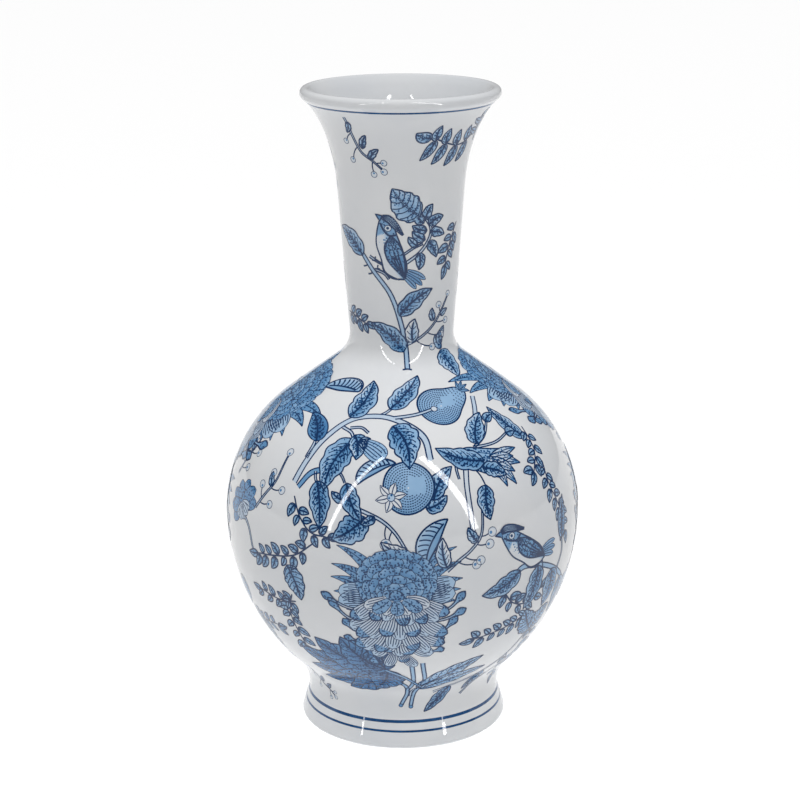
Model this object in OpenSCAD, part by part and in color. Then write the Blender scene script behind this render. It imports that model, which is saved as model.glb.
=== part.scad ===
// Bottle vase with a round belly, a trumpet neck and a flared foot ring.
// The body is thrown in sections, which are luted one on another with slip.
// The frame's origin is the centre of the foot on the ground, and +Z is up. Millimetres.

/* [Overall size] */
// Height from the ground to the top of the lip
total_height = 355.6; // [300:0.2:430]
// Diameter of the belly at its widest
belly_diameter = 194.2; // [164:0.2:233]
// Height of the widest part of the belly above the ground
belly_height = 122.3; // [104:0.1:146]
// Outside diameter of the lip
mouth_diameter = 107; // [92:1:128]
// Outside diameter of the neck at its narrowest
neck_diameter = 56.2; // [47:0.2:68]
// Diameter of the foot at its waist, above the flare
foot_waist_diameter = 106.2; // [90:0.2:124]

/* [Belly and shoulder] */
// Rise from the widest part of the belly to the neck
shoulder_rise = 92.1; // [78:0.1:110]
// Lean of the straight shoulder from the vertical, in degrees
shoulder_angle = 53.1; // [48:0.1:58]
// Radius of the hollow curve between shoulder and neck
neck_fillet_radius = 17.5; // [12:0.5:22]

/* [Neck and lip] */
// Widening of the neck's radius for each millimetre of height
neck_taper = 0.075; // [0.04:0.005:0.09]
// Height of the trumpet flare, from its start on the neck to the top
flare_height = 52; // [43:1:63]
// Radius of the rolled lip
lip_roll_radius = 3; // [2.5:0.1:3.6]
// Angle below level at which the lip roll meets the neck's edge
lip_roll_seat_angle = 60; // [50:1:65]
// Distance that the mouth stands out past the neck's edge
lip_overhang = 1.8; // [1.5:0.1:2.4]

/* [Foot] */
// Height of the foot's waist above the ground
foot_waist_height = 18; // [17:0.5:22]
// Radius of the hollow curve from the flared foot to the belly
foot_curve_radius = 30; // [25:1:36]
// Radius of the hollow curve under the waist
foot_flare_radius = 9; // [6:0.5:11]
// Lean of the foot's flare from the vertical, in degrees
foot_flare_angle = 17; // [12:1:21]
// Height of the foot ring section
foot_ring_height = 14; // [12:0.5:16]
// Thickness of the foot ring at its top
foot_ring_thickness = 7.5; // [6.5:0.5:9]
// Radius that rounds the foot's lower edges
foot_edge_radius = 2.8; // [2.3:0.1:3.2]
// Draft of the foot ring's inner face
foot_inner_draft = 1.6; // [1:0.1:2]

/* [Walls and lute joints] */
// Thickness of the walls
wall = 4.8; // [4:0.1:5.8]
// Thickness of the floor
floor_thickness = 6; // [5:0.5:7.5]
// Radius between the floor and the wall inside
floor_fillet_radius = 9; // [7:0.5:11]
// Thickness of the slip in a lute joint
slip_thickness = 0.6; // [0.4:0.1:1]
// Height of the tongue that locates one section on the next
tongue_height = 4; // [3:0.5:5]
// Radius of the bead of slip left inside each tongued joint
slip_bead_radius = 1.8; // [1.5:0.1:2.2]

/* [Hidden] */
$fn = 96;
chord_sag = 0.03;
flare_steps = 22;
overrun = 1;

belly_radius = belly_diameter / 2;
neck_radius = neck_diameter / 2;
mouth_radius = mouth_diameter / 2;
foot_waist_radius = foot_waist_diameter / 2;

// The lower belly arc touches the widest circle and the hollow curve of the foot.
waist_offset = foot_waist_radius - belly_radius + foot_curve_radius;
waist_drop = belly_height - foot_waist_height;
lower_arc_radius = (pow(waist_offset, 2) + pow(waist_drop, 2) - pow(foot_curve_radius, 2))
    / (2 * (foot_curve_radius - waist_offset));
lower_arc_angle = asin(waist_drop / (lower_arc_radius + foot_curve_radius));

// Under the foot's waist a tight curve leads into a straight flare.
foot_flare_top = foot_waist_height - foot_flare_radius * sin(foot_flare_angle);
function foot_flare_at(z) = foot_waist_radius + foot_flare_radius * (1 - cos(foot_flare_angle))
    + (foot_flare_top - z) * tan(foot_flare_angle);

// The upper belly arc touches the widest circle and the straight shoulder.
upper_arc_radius = (shoulder_rise * tan(shoulder_angle) - belly_radius + neck_radius)
    / (1 / cos(shoulder_angle) - 1);

// The neck fillet touches the shoulder and stands upright at the neck's waist.
neck_waist_height = belly_height + shoulder_rise + neck_fillet_radius * tan(shoulder_angle / 2);

// The flare is a stretch of an ellipse that ends under the lip roll.
lip_centre_radius = mouth_radius - lip_roll_radius;
lip_centre_height = total_height - lip_roll_radius;
lip_base_height = lip_centre_height - lip_roll_radius * sin(lip_roll_seat_angle);
flare_base_height = total_height - flare_height;
flare_end_share = (lip_base_height - flare_base_height) / flare_height;
cone_radius_at_end = neck_radius + neck_taper * (lip_base_height - neck_waist_height);
flare_width = (mouth_radius - lip_overhang - cone_radius_at_end)
    / (1 - sqrt(1 - pow(flare_end_share, 2)));

// Heights of the four lute joints.
foot_joint = foot_ring_height;
belly_joint = belly_height;
neck_joint = neck_waist_height + tongue_height;
lip_joint = lip_base_height - slip_thickness;
floor_top = foot_joint + slip_thickness + floor_thickness;

// Steps along an arc that keep its chords within chord_sag of the curve.
function arc_steps(radius, sweep) = max(2, ceil(abs(sweep) / (2 * acos(1 - chord_sag / radius))));

// Points on an arc from angle a to angle b, both included.
function arc(centre, radius, a, b) =
    let (n = arc_steps(radius, b - a))
    [for (i = [0 : n]) centre + radius * [cos(a + (b - a) * i / n), sin(a + (b - a) * i / n)]];

// Radius of the neck's outside above its waist: a slight cone and then the flare.
function neck_outside(z) =
    let (share = max(0, (z - flare_base_height) / flare_height))
    neck_radius + neck_taper * (z - neck_waist_height) + flare_width * (1 - sqrt(1 - share * share));

// The outer line of the vase from the flared foot up to the lip, and the same line
// set in by a depth: hollow curves grow by the depth and full ones shrink.
function foot_flare_line(depth) = concat(
    [[foot_flare_at(overrun), overrun] - depth * [cos(foot_flare_angle), sin(foot_flare_angle)]],
    arc([foot_waist_radius + foot_flare_radius, foot_waist_height], foot_flare_radius + depth,
        180 + foot_flare_angle, 180));
function foot_line(depth) =
    arc([foot_waist_radius + foot_curve_radius, foot_waist_height], foot_curve_radius + depth,
        180, 180 - lower_arc_angle);
function lower_belly_line(depth) =
    arc([belly_radius - lower_arc_radius, belly_height], lower_arc_radius - depth, -lower_arc_angle, 0);
function upper_belly_line(depth) =
    arc([belly_radius - upper_arc_radius, belly_height], upper_arc_radius - depth, 0, shoulder_angle);
function neck_fillet_line(depth) =
    arc([neck_radius + neck_fillet_radius, neck_waist_height], neck_fillet_radius + depth,
        180 + shoulder_angle, 180);
function flare_line(depth) =
    [for (i = [0 : flare_steps])
        let (flare_rise = lip_base_height + overrun - flare_base_height,
             z = i == 0 ? neck_waist_height + overrun
                 : flare_base_height + flare_rise * (i - 1) / (flare_steps - 1),
             r = neck_outside(z),
             slope = neck_outside(z) - neck_outside(z - 0.01),
             normal = [0.01, -slope] / norm([0.01, slope]))
        [r, z] - depth * normal];
function but_first(line) = [for (i = [1 : len(line) - 1]) line[i]];
function wall_line(depth) = concat(
    foot_flare_line(depth), but_first(foot_line(depth)),
    but_first(lower_belly_line(depth)), but_first(upper_belly_line(depth)),
    neck_fillet_line(depth), flare_line(depth));

outer_line = wall_line(0);
inner_line = wall_line(wall);

// Radius of a line at a height, between the two points around it.
function radius_at(line, z) = lookup(z, [for (p = line) [p[1], p[0]]]);

// The stretch of a line between two heights, with points exactly at both.
function stretch(line, low, high) = concat(
    [[radius_at(line, low), low]],
    [for (p = line) if (p[1] > low + 0.05 && p[1] < high - 0.05) p],
    [[radius_at(line, high), high]]);
function reversed(line) = [for (i = [len(line) - 1 : -1 : 0]) line[i]];

// Middle of the wall at a joint, where the tongue steps.
function step_radius(z) = (radius_at(outer_line, z) + radius_at(inner_line, z)) / 2;

// A tongued joint at height z. The lower section carries the tongue on the inner half of
// its wall, and the upper section has the rebate that fits over it, a layer of slip away.
function tongue_top(z) = z + tongue_height;
function rebate_top(z) = z + tongue_height + slip_thickness;
function tongue_step(z) = [[step_radius(z), z], [step_radius(z), tongue_top(z)]];
function rebate_step(z) = [
    [step_radius(z) + slip_thickness, rebate_top(z)],
    [step_radius(z) + slip_thickness, z + slip_thickness]];

// Foot ring: flared outside, drafted inside, rounded where it meets the ground.
module foot_ring() {
    edge = foot_edge_radius;
    edge_top = edge * (1 + sin(foot_flare_angle));
    outer_edge = foot_flare_at(edge_top) - edge * cos(foot_flare_angle);
    inner_top = radius_at(outer_line, foot_joint) - foot_ring_thickness;
    inner_edge = inner_top + foot_inner_draft + edge;
    color("white") rotate_extrude()
        polygon(concat(
            arc([inner_edge, edge], edge, 180, 270),
            arc([outer_edge, edge], edge, 270, 360 + foot_flare_angle),
            stretch(outer_line, edge_top + overrun, foot_joint),
            [[inner_top, foot_joint]]));
}

// Slip between the foot ring and the bowl that stands on it.
module foot_slip() {
    inner_radius = radius_at(outer_line, foot_joint) - foot_ring_thickness;
    color("gainsboro") rotate_extrude()
        polygon([
            [inner_radius, foot_joint],
            [radius_at(outer_line, foot_joint), foot_joint],
            [radius_at(outer_line, foot_joint + slip_thickness), foot_joint + slip_thickness],
            [inner_radius, foot_joint + slip_thickness]]);
}

// Lower belly: a bowl with the vase's floor, ending in a tongue.
module lower_belly() {
    base = foot_joint + slip_thickness;
    fillet_top = floor_top + floor_fillet_radius;
    fillet_radius_in = radius_at(inner_line, fillet_top);
    color("white") rotate_extrude()
        polygon(concat(
            [[0, base]],
            stretch(outer_line, base, belly_joint),
            tongue_step(belly_joint),
            reversed(stretch(inner_line, fillet_top, tongue_top(belly_joint))),
            arc([fillet_radius_in - floor_fillet_radius, fillet_top], floor_fillet_radius, 0, -90),
            [[0, floor_top]]));
}

// A layer of slip that follows the step of a tongued joint, with its bead inside.
module tongued_slip(z) {
    color("gainsboro") rotate_extrude() {
        polygon(concat(
            stretch(outer_line, z, z + slip_thickness),
            reversed(rebate_step(z)),
            reversed(stretch(inner_line, tongue_top(z), rebate_top(z))),
            reversed(tongue_step(z))));
        intersection() {
            bead_height = tongue_top(z) + slip_thickness / 2;
            translate([radius_at(inner_line, bead_height), bead_height]) circle(slip_bead_radius);
            polygon(concat(
                [[0, z]],
                stretch(inner_line, z, z + 2 * tongue_height),
                [[0, z + 2 * tongue_height]]));
        }
    }
}
module belly_slip() tongued_slip(belly_joint);

// Upper belly: the dome and the shoulder, up to the foot of the neck.
module upper_belly() {
    color("white") rotate_extrude()
        polygon(concat(
            rebate_step(belly_joint),
            stretch(outer_line, belly_joint + slip_thickness, neck_joint),
            tongue_step(neck_joint),
            reversed(stretch(inner_line, rebate_top(belly_joint), tongue_top(neck_joint)))));
}
module neck_slip() tongued_slip(neck_joint);

// Neck: a slight cone that flares like a trumpet under the lip.
module neck() {
    color("white") rotate_extrude()
        polygon(concat(
            rebate_step(neck_joint),
            stretch(outer_line, neck_joint + slip_thickness, lip_joint),
            reversed(stretch(inner_line, rebate_top(neck_joint), lip_joint))));
}

// Slip between the neck's edge and the rolled lip.
module lip_slip() {
    color("gainsboro") rotate_extrude()
        polygon(concat(
            stretch(outer_line, lip_joint, lip_joint + slip_thickness),
            reversed(stretch(inner_line, lip_joint, lip_joint + slip_thickness))));
}

// Lip: a roll of clay, thicker than the wall, that turns over the neck's edge.
module lip() {
    color("white") rotate_extrude()
        polygon(concat(
            arc([lip_centre_radius, lip_centre_height], lip_roll_radius, -lip_roll_seat_angle, 125),
            [[radius_at(inner_line, lip_base_height), lip_base_height]]));
}

foot_ring();
foot_slip();
lower_belly();
belly_slip();
upper_belly();
neck_slip();
neck();
lip_slip();
lip();
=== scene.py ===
import math
import random

import bmesh
import bpy
import numpy as np
from mathutils import Matrix, Vector


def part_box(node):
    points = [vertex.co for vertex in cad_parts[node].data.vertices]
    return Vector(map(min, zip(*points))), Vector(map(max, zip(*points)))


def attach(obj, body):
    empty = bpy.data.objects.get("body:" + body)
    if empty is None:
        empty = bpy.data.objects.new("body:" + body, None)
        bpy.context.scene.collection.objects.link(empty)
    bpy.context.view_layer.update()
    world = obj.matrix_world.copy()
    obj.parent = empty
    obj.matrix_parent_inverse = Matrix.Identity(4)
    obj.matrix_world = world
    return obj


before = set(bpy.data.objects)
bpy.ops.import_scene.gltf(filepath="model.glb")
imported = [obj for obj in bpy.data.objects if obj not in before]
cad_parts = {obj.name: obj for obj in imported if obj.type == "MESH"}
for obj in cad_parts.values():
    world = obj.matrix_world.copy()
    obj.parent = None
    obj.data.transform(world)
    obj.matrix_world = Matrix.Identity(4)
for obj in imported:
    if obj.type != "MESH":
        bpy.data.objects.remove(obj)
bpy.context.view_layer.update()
mm = 0.001

# A tall white bottle vase with a blue bird-and-flower print. The pattern is drawn flat, in
# millimetres, and then wrapped on the vase. Angles are degrees round the vase, from the front.


# camera

view = {
    "distance": 1140,      # mm in front of the vase's axis
    "height": 510,         # mm above the ground
    "tiltDown": 16.0,
    "roll": -0.27,
    "lens": 97.0,
    "shiftX": -0.0025,
}


def placeCamera():
    camera = bpy.data.objects.new("camera", bpy.data.cameras.new("camera"))
    bpy.context.collection.objects.link(camera)
    camera.data.lens = view["lens"]
    camera.data.sensor_width = 36
    camera.data.shift_x = view["shiftX"]
    camera.data.clip_start, camera.data.clip_end = 0.05, 20
    camera.location = (0, -view["distance"] * mm, view["height"] * mm)
    tilt = Matrix.Rotation(math.radians(90 - view["tiltDown"]), 3, "X")
    roll = Matrix.Rotation(math.radians(view["roll"]), 3, "Z")
    camera.rotation_euler = (tilt @ roll).to_euler()
    bpy.context.scene.camera = camera


placeCamera()
print("camera placed")


# the outline of the vase, read from the solids

def sectionOutline(node):
    # slice the solid through its axis, keep the +X half and walk round it from its outer foot
    bm = bmesh.new()
    bm.from_mesh(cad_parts[node].data)
    bmesh.ops.remove_doubles(bm, verts=bm.verts, dist=1e-6)
    for normal, below in (((0, 1, 0), True), ((1, 0, 0), False)):
        bmesh.ops.bisect_plane(bm, geom=bm.verts[:] + bm.edges[:] + bm.faces[:], dist=1e-6,
                               plane_co=(0, 0, 0), plane_no=normal,
                               clear_inner=True, clear_outer=below)
    low = min(v.co.z for v in bm.verts)
    here = max((v for v in bm.verts if v.co.z < low + 1e-5), key=lambda v: v.co.x)
    walk = [here]
    here = max((e.other_vert(here) for e in here.link_edges), key=lambda v: v.co.z)
    while here is not None and here is not walk[0]:
        walk.append(here)
        onward = [e.other_vert(here) for e in here.link_edges]
        here = next((v for v in onward if v is not walk[-2]), None)
    points = [Vector((v.co.x, v.co.z)) for v in walk]
    bm.free()
    return points


def withoutStraights(points, least=0.004):
    # drop the points that lie on a straight between their neighbours
    kept = [points[0]]
    for here, after in zip(points[1:], points[2:]):
        turn = (here - kept[-1]).normalized().cross((after - here).normalized())
        if abs(turn) > least:
            kept.append(here)
    return kept + [points[-1]]


def climb(points):
    # the outer side of a section, from its foot to its top
    top = next((i for i in range(1, len(points)) if points[i].y < points[i - 1].y + 1e-5), len(points))
    return points[:top], points[top:]


outlines = {node: withoutStraights(sectionOutline(node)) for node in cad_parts}
sections = ["foot_ring", "lower_belly", "upper_belly", "neck"]
straightShare = 0.72       # of two chords that meet; a longer one is a straight


def smoothed(points, step):
    # more points on the smooth curve through these, a step apart
    chords = [(b - a).length for a, b in zip(points, points[1:])]
    ways = [(b - a).normalized() for a, b in zip(points, points[1:])]
    tangents = [ways[0]]
    for i in range(1, len(ways)):
        share = chords[i] / (chords[i - 1] + chords[i])
        if max(share, 1 - share) > straightShare:     # a straight beside a curve keeps its direction
            share = 1 - round(share)
        tangents.append((ways[i - 1] * share + ways[i] * (1 - share)).normalized())
    tangents.append(ways[-1])
    fine = []
    for i, length in enumerate(chords):
        parts = max(1, math.ceil(length / step))
        for k in range(parts):
            t = k / parts
            fine.append(points[i] * (1 + 2 * t) * (1 - t) ** 2 + points[i + 1] * t * t * (3 - 2 * t)
                        + tangents[i] * length * t * (1 - t) ** 2
                        - tangents[i + 1] * length * t * t * (1 - t))
    return fine + [points[-1]]


def wholeOutside():
    # the outer sides of the sections in one line, without the points of the lute joints
    points = []
    for node in sections:
        points += climb(outlines[node])[0][1:-1]
    return points + [climb(outlines["neck"])[0][-1]]


def wholeInside():
    # down the inner sides of the sections, from the lip to the middle of the floor
    points = climb(outlines["lip"])[1]
    for node in ("neck", "upper_belly", "lower_belly"):
        inner = climb(outlines[node])[1]
        if node != "neck":
            inner = inner[2:]      # past the tongue
        if node != "lower_belly":
            inner = inner[:-2]     # as far as the rebate
        points += inner[1:-1]
    return points + [outlines["lower_belly"][-1]]


# wrapping: from flat millimetres to the vase

wall = {}


def measureWall():
    fine = smoothed([p / mm for p in wholeOutside()], 0.4)
    line = np.array([(p.x, p.y) for p in fine])
    step = np.hypot(*np.diff(line, axis=0).T)
    along = np.concatenate([[0], np.cumsum(step)])
    tangent = np.gradient(line, along, axis=0)
    tangent /= np.hypot(*tangent.T)[:, None]
    wall.update(along=along, radius=line[:, 0], height=line[:, 1],
                outward=tangent[:, 1], upward=-tangent[:, 0])


def onWall(across, up, lift, angle, height):
    # across and up are flat millimetres from a point at this angle and height
    along = np.interp(height, wall["height"], wall["along"]) + up
    radius, z, outward, upward = (np.interp(along, wall["along"], wall[k])
                                  for k in ("radius", "height", "outward", "upward"))
    turn = math.radians(angle) + across / radius
    r = radius + outward * lift
    places = np.stack([r * np.sin(turn), -r * np.cos(turn), z + upward * lift], axis=1) * mm
    normals = np.stack([outward * np.sin(turn), -outward * np.cos(turn), upward], axis=1)
    return places, normals


measureWall()
print("outline measured:", len(wall["along"]), "points")


# materials

glazeLook = {
    "white": (0.672, 0.682, 0.694),
    "shade": (0.625, 0.643, 0.668),
    "clouds": 18,              # of the shade, to a metre
    "roughness": 0.04,
    "waviness": 0.05,          # strength of the glaze's ripple
    "rippleSize": 24,          # mm
    "rippleDepth": 2,          # mm
    "index": 1.5,              # refraction
}

inkLook = {
    # tone of the cobalt: 0 is the bare glaze and 1 the darkest line
    "tones": ((0.0, (0.65, 0.664, 0.683)), (0.17, (0.29, 0.45, 0.64)), (0.36, (0.105, 0.26, 0.475)),
              (0.50, (0.055, 0.175, 0.37)), (0.66, (0.018, 0.09, 0.235)), (0.90, (0.002, 0.026, 0.095))),
    "unevenness": 0.36,
    "blotch": 6,               # mm
    "stippleGap": 1.45,        # mm between the dots
    "stippleSize": 0.52,       # of the largest dot, as a share of the gap
    "stippleEdge": 7.0,        # higher is crisper
    "stippleDepth": 0.58,
}

biscuitLook = {
    "bareClay": {"colours": ((0.72, 0.68, 0.62), (0.82, 0.79, 0.74)), "grains": 900},
    "slip": {"colours": ((0.74, 0.73, 0.71), (0.80, 0.79, 0.77)), "grains": 600},   # grains to a metre
    "bump": 0.3,
    "bumpDepth": 0.2,          # mm
    "roughness": 0.75,
}


def newMaterial(name):
    material = bpy.data.materials.new(name)
    material.use_nodes = True
    nodes = material.node_tree.nodes
    return material, nodes, material.node_tree.links, nodes["Principled BSDF"]


def addRipple(nodes, links, shader):
    # the soft unevenness of a thick glaze, the same on the glaze and on the print under it
    place = nodes.new("ShaderNodeTexCoord")
    noise = nodes.new("ShaderNodeTexNoise")
    noise.inputs["Scale"].default_value = 1000 / glazeLook["rippleSize"]
    noise.inputs["Detail"].default_value = 1.0
    bump = nodes.new("ShaderNodeBump")
    bump.inputs["Strength"].default_value = glazeLook["waviness"]
    bump.inputs["Distance"].default_value = glazeLook["rippleDepth"] * mm
    links.new(place.outputs["Object"], noise.inputs["Vector"])
    links.new(noise.outputs["Fac"], bump.inputs["Height"])
    links.new(bump.outputs["Normal"], shader.inputs["Normal"])
    return place


def addClouds(nodes, links, shader, place, scale, detail, colours, ends=(0, 1)):
    # a colour that drifts between two others
    noise, ramp = nodes.new("ShaderNodeTexNoise"), nodes.new("ShaderNodeValToRGB")
    noise.inputs["Scale"].default_value = scale
    noise.inputs["Detail"].default_value = detail
    for element, at, colour in zip(ramp.color_ramp.elements, ends, colours):
        element.position, element.color = at, (*colour, 1)
    links.new(place.outputs["Object"], noise.inputs["Vector"])
    links.new(noise.outputs["Fac"], ramp.inputs["Fac"])
    links.new(ramp.outputs["Color"], shader.inputs["Base Color"])
    return noise


def makeGlaze():
    material, nodes, links, shader = newMaterial("glazedPorcelain")
    place = addRipple(nodes, links, shader)
    addClouds(nodes, links, shader, place, glazeLook["clouds"], 4,
              (glazeLook["shade"], glazeLook["white"]), (0.35, 0.65))
    shader.inputs["Roughness"].default_value = glazeLook["roughness"]
    shader.inputs["IOR"].default_value = glazeLook["index"]
    return material


def makeBiscuit(name):
    # bare clay: matt, with a fine grain
    material, nodes, links, shader = newMaterial(name)
    place, bump = nodes.new("ShaderNodeTexCoord"), nodes.new("ShaderNodeBump")
    noise = addClouds(nodes, links, shader, place, biscuitLook[name]["grains"], 6,
                      biscuitLook[name]["colours"])
    bump.inputs["Strength"].default_value = biscuitLook["bump"]
    bump.inputs["Distance"].default_value = biscuitLook["bumpDepth"] * mm
    links.new(noise.outputs["Fac"], bump.inputs["Height"])
    links.new(bump.outputs["Normal"], shader.inputs["Normal"])
    shader.inputs["Roughness"].default_value = biscuitLook["roughness"]
    return material


def blend(nodes, links, operation, first, second, clamp=False):
    # one sum of a material; a number stays a number and a socket is linked
    step = nodes.new("ShaderNodeMath")
    step.operation, step.use_clamp = operation, clamp
    for socket, value in zip(step.inputs, (first, second)):
        if isinstance(value, (int, float)):
            socket.default_value = value
        else:
            links.new(value, socket)
    return step.outputs["Value"]


def makeInk():
    # cobalt under the glaze: the drawn tone, a little blotchy, with the engraver's stipple
    material, nodes, links, shader = newMaterial("cobaltPrint")
    place = addRipple(nodes, links, shader)
    tone, grain = nodes.new("ShaderNodeAttribute"), nodes.new("ShaderNodeAttribute")
    tone.attribute_name, grain.attribute_name = "tone", "grain"
    blotch, dots = nodes.new("ShaderNodeTexNoise"), nodes.new("ShaderNodeTexVoronoi")
    blotch.inputs["Scale"].default_value = 1000 / inkLook["blotch"]
    blotch.inputs["Detail"].default_value = 3
    dots.inputs["Scale"].default_value = 1000 / inkLook["stippleGap"]
    dots.inputs["Randomness"].default_value = 0.8
    for texture in (blotch, dots):
        links.new(place.outputs["Object"], texture.inputs["Vector"])
    uneven = blend(nodes, links, "MULTIPLY", blotch.outputs["Fac"], inkLook["unevenness"])
    uneven = blend(nodes, links, "ADD", uneven, 1 - inkLook["unevenness"] / 2)
    uneven = blend(nodes, links, "MULTIPLY", uneven, tone.outputs["Fac"])
    dot = blend(nodes, links, "MULTIPLY", grain.outputs["Fac"], inkLook["stippleSize"])
    dot = blend(nodes, links, "SUBTRACT", dot, dots.outputs["Distance"])
    dot = blend(nodes, links, "MULTIPLY", dot, inkLook["stippleEdge"], clamp=True)
    dot = blend(nodes, links, "MULTIPLY", dot, inkLook["stippleDepth"])
    ramp = nodes.new("ShaderNodeValToRGB")
    while len(ramp.color_ramp.elements) < len(inkLook["tones"]):
        ramp.color_ramp.elements.new(0.5)
    for element, (at, colour) in zip(ramp.color_ramp.elements, inkLook["tones"]):
        element.position, element.color = at, (*colour, 1)
    links.new(blend(nodes, links, "ADD", uneven, dot, clamp=True), ramp.inputs["Fac"])
    links.new(ramp.outputs["Color"], shader.inputs["Base Color"])
    shader.inputs["Roughness"].default_value = glazeLook["roughness"]
    shader.inputs["IOR"].default_value = glazeLook["index"]
    return material


glaze = makeGlaze()
ink = makeInk()
clay = makeBiscuit("bareClay")
slip = makeBiscuit("slip")
for node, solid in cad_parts.items():
    solid.data.materials.clear()
    solid.data.materials.append(slip if node.endswith("slip") else clay)
print("materials made")


# the coat of glaze

coat = {
    "thickness": 0.15,     # mm that it stands proud of the clay
    "keyed": 0.06,         # mm that its back lies in the clay
    "bareFoot": 2.0,       # mm of bare clay above the ground
    "wiped": 0.2,          # share of the thickness left where the glaze was wiped away
    "crease": 32,          # degrees; a sharper edge is drawn sharp
    "step": 3.2,           # mm between two points of the outline, at most
    "finest": 0.5,         # mm between two of them, at least
    "footEdge": 4.2,       # mm, the top of the foot ring's rounded edge
    "segments": 168,
}


def finishPiece(bm, name, material):
    mesh = bpy.data.meshes.new(name)
    bm.to_mesh(mesh)
    bm.free()
    mesh.materials.append(material)
    piece = bpy.data.objects.new(name, mesh)
    bpy.context.collection.objects.link(piece)
    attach(piece, "root")
    return piece


def offset(points, distance):
    moved = []
    for i, p in enumerate(points):
        way = (points[min(i + 1, len(points) - 1)] - points[max(i - 1, 0)]).normalized()
        moved.append(p + Vector((way.y, -way.x)) * distance)
    return moved


def turnRound(bm, geometry):
    bmesh.ops.spin(bm, geom=geometry, cent=(0, 0, 0), axis=(0, 0, 1), dvec=(0, 0, 0),
                   angle=math.tau, steps=coat["segments"], use_merge=True, use_duplicate=False)


def turnCoat(name, points):
    # the front follows the clay a little proud of it, and the back lies in the clay
    front = offset(points, coat["thickness"] * mm)
    back = offset(points, -coat["keyed"] * mm)
    for i in (0, -1):
        if points[i].x < 1e-6:
            front[i].x = back[i].x = 0
        else:
            front[i] = points[i].lerp(front[i], coat["wiped"])
    bm = bmesh.new()
    verts = [bm.verts.new((p.x, 0, p.y)) for p in front + back[::-1]]
    edges = [bm.edges.new(pair) for pair in zip(verts, verts[1:] + verts[:1])
             if max(v.co.x for v in pair) > 1e-6]      # none along the axis
    turnRound(bm, verts + edges)
    bmesh.ops.remove_doubles(bm, verts=bm.verts, dist=1e-6)
    bmesh.ops.recalc_face_normals(bm, faces=bm.faces)
    for face in bm.faces:
        face.smooth = True
    for edge in bm.edges:
        edge.smooth = edge.calc_face_angle(0) < math.radians(coat["crease"])
    finishPiece(bm, name, glaze)


def spread(points):
    # drop a point that crowds the one before it
    kept = [points[0]]
    for p in points[1:-1]:
        if (p - kept[-1]).length > coat["finest"] * mm:
            kept.append(p)
    return kept + [points[-1]]


foot = climb(outlines["foot_ring"])
outerFoot = [p for p in foot[0] if coat["bareFoot"] * mm < p.y < coat["footEdge"] * mm]
lipRoll = climb(outlines["lip"])[0]
outside = smoothed(wholeOutside(), coat["step"] * mm)
turnCoat("glazeCoat", spread(outerFoot + outside + lipRoll + wholeInside()))
footInside = [p for p in foot[1] if p.y > coat["bareFoot"] * mm]
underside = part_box("lower_belly")[0][2]
recess = [Vector((footInside[0].x * k / 6, underside)) for k in range(7)]
turnCoat("footGlaze", spread(recess + footInside))
print("coat of glaze turned")


# the drawing: flat shapes in millimetres, as complex numbers, x to the right and y up

pen = {"outline": 0.82, "vein": 0.50, "stem": 0.90}
tones = {"pale": 0.14, "wash": 0.19, "mid": 0.25, "deep": 0.44, "line": 0.95}
printLook = {
    "start": 0.19,         # mm from the clay to the lowest level of the print
    "level": 0.012,        # mm between one level and the next
    "quad": 1.25,          # mm, the longest side of a cell of a grid
}


def newArt(seed):
    bm = bmesh.new()
    art = {"bm": bm, "chance": random.Random(seed)}
    for name in ("tone", "grain"):
        art[name] = bm.verts.layers.float.new(name)
    return art


def patch(art, columns, rows, place, level, tone, grain=0.0):
    # a grid laid out by place(u, w): u runs along it and w across it, both from 0 to 1
    grid = bmesh.ops.create_grid(art["bm"], x_segments=columns, y_segments=rows, size=0.5)["verts"]
    u = np.array([v.co.x for v in grid]) + 0.5
    w = np.array([v.co.y for v in grid]) + 0.5
    spots = place(u, w)
    shade = tone(u, w) if callable(tone) else np.full(len(u), float(tone))
    rough = grain(u, w) if callable(grain) else np.full(len(u), float(grain))
    toneLayer, grainLayer = art["tone"], art["grain"]
    for i, v in enumerate(grid):
        v.co = (spots[i].real, spots[i].imag, level)
        v[toneLayer] = shade[i]
        v[grainLayer] = rough[i]


def cells(length):
    return max(2, math.ceil(length / printLook["quad"]))


def lengthOf(path):
    return float(abs(np.diff(path)).sum())


def pointAt(path, t):
    knots = np.linspace(0, 1, len(path))
    return np.interp(t, knots, path.real) + 1j * np.interp(t, knots, path.imag)


def sideOf(path):
    ahead = np.gradient(path)
    return 1j * ahead / np.maximum(abs(ahead), 1e-6)


def curve(points, count=None):
    # a smooth line through a few points
    p = np.array(points, dtype=complex)
    if len(p) == 2:
        p = np.array([p[0], (p[0] + p[1]) / 2, p[1]])
    knots = np.concatenate([[0], np.cumsum(np.maximum(abs(np.diff(p)), 1e-6) ** 0.5)])
    slopes = np.gradient(p, knots)
    t = np.linspace(0, knots[-1], count or cells(lengthOf(p)) + 1)
    i = np.clip(np.searchsorted(knots, t, side="right") - 1, 0, len(p) - 2)
    gap = knots[i + 1] - knots[i]
    s = (t - knots[i]) / gap
    return (p[i] * (1 + 2 * s) * (1 - s) ** 2 + p[i + 1] * s * s * (3 - 2 * s)
            + slopes[i] * gap * s * (1 - s) ** 2 - slopes[i + 1] * gap * s * s * (1 - s))


def bowed(start, end, bow, count=None):
    t = np.linspace(0, 1, count or cells(abs(end - start)) + 1)
    return start + (end - start) * t + 1j * (end - start) * bow * 4 * t * (1 - t)


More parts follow.
